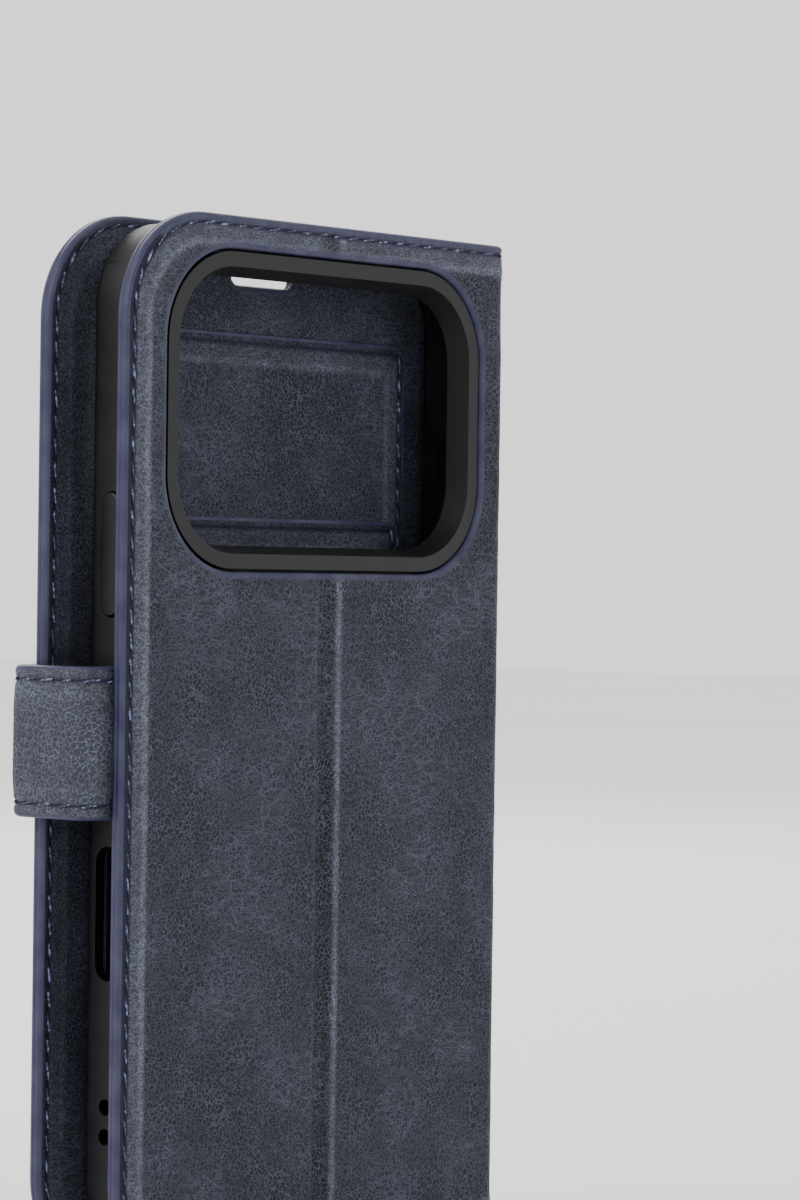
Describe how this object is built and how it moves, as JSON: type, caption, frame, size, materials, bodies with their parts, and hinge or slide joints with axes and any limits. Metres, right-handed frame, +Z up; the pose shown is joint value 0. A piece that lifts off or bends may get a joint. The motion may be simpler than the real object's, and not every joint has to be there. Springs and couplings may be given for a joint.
{
  "type": "phone wallet case",
  "caption": "Folding leather phone case: moulded shell in a book cover with a magnetic strap, camera window, card pockets and a stand fold in the back.",
  "frame": {"origin": "on the surface that the closed case stands on, under the middle of its bounding box", "axes": "+Z up the case's height, +X towards the opening edge and the strap, +Y out of the back panel, where the camera window is"},
  "size_m": [0.089, 0.0192, 0.156],
  "materials": {
    "outer_leather": "grained, semi-matt, worn lighter on the ridges",
    "lining_leather": "grained, matt",
    "pocket_leather": "grained, matt",
    "board": "raw",
    "shell_tpu": "satin",
    "button_tpu": "satin",
    "foam_tape": "matt",
    "plate_steel": "raw",
    "magnet": "nickel plated"
  },
  "bodies": {
    "holder": {"inner_shell": "shell_tpu", "shell_tape": "foam_tape", "strap_anchor": "outer_leather", "back_skin": "outer_leather", "back_board": "board", "back_lining": "lining_leather"},
    "wing": {"wing_skin": "outer_leather", "wing_board": "board", "wing_lining": "lining_leather"},
    "spine": {"spine_skin": "outer_leather", "spine_board": "board", "spine_lining": "lining_leather"},
    "flap": {"flap_skin": "outer_leather", "flap_board": "board", "flap_lining": "lining_leather", "catch_plate": "plate_steel", "cash_pocket": "pocket_leather", "card_pocket_upper": "pocket_leather", "card_pocket_middle": "pocket_leather", "card_pocket_lower": "pocket_leather"},
    "strap_side": {"strap_side_skin": "outer_leather", "strap_side_lining": "lining_leather"},
    "strap_tab": {"strap_tab_skin": "outer_leather", "strap_tab_lining": "lining_leather", "strap_tab_board": "board", "strap_magnet": "magnet"},
    "power_button": {"power_button_cover": "button_tpu"},
    "action_button": {"action_button_cover": "button_tpu"},
    "volume_up": {"volume_up_cover": "button_tpu"},
    "volume_down": {"volume_down_cover": "button_tpu"}
  },
  "joints": [
    {"name": "kickstand_fold", "type": "hinge", "parent": "holder", "child": "wing", "pos_m": [-0.0029, 0.00932, 0.078], "axis": [0, 0, -1], "range_deg": [0, 40]},
    {"name": "spine_back_fold", "type": "hinge", "parent": "wing", "child": "spine", "pos_m": [-0.0438, 0.00892, 0.078], "axis": [0, 0, -1], "range_deg": [0, 160]},
    {"name": "flap_fold", "type": "hinge", "parent": "spine", "child": "flap", "pos_m": [-0.0438, -0.00647, 0.078], "axis": [0, 0, -1], "range_deg": [0, 160]},
    {"name": "strap_side_bend", "type": "hinge", "parent": "holder", "child": "strap_side", "pos_m": [0.04342, 0.00614, 0.078], "axis": [0, 0, 1], "range_deg": [0, 100]},
    {"name": "strap_tab_bend", "type": "hinge", "parent": "strap_side", "child": "strap_tab", "pos_m": [0.04345, -0.00857, 0.078], "axis": [0, 0, 1], "range_deg": [0, 95]},
    {"name": "power_button_press", "type": "slide", "parent": "holder", "child": "power_button", "axis": [-1, 0, 0], "range_m": [0, 0.0004], "stiffness_N_per_m": 3000},
    {"name": "action_button_press", "type": "slide", "parent": "holder", "child": "action_button", "axis": [1, 0, 0], "range_m": [0, 0.0004], "stiffness_N_per_m": 3000},
    {"name": "volume_up_press", "type": "slide", "parent": "holder", "child": "volume_up", "axis": [1, 0, 0], "range_m": [0, 0.0004], "stiffness_N_per_m": 3000},
    {"name": "volume_down_press", "type": "slide", "parent": "holder", "child": "volume_down", "axis": [1, 0, 0], "range_m": [0, 0.0004], "stiffness_N_per_m": 3000}
  ],
  "couplings": [
    {"joint": "kickstand_fold", "follows": "flap_fold", "ratio": 0.25},
    {"joint": "spine_back_fold", "follows": "flap_fold", "ratio": 1}
  ]
}
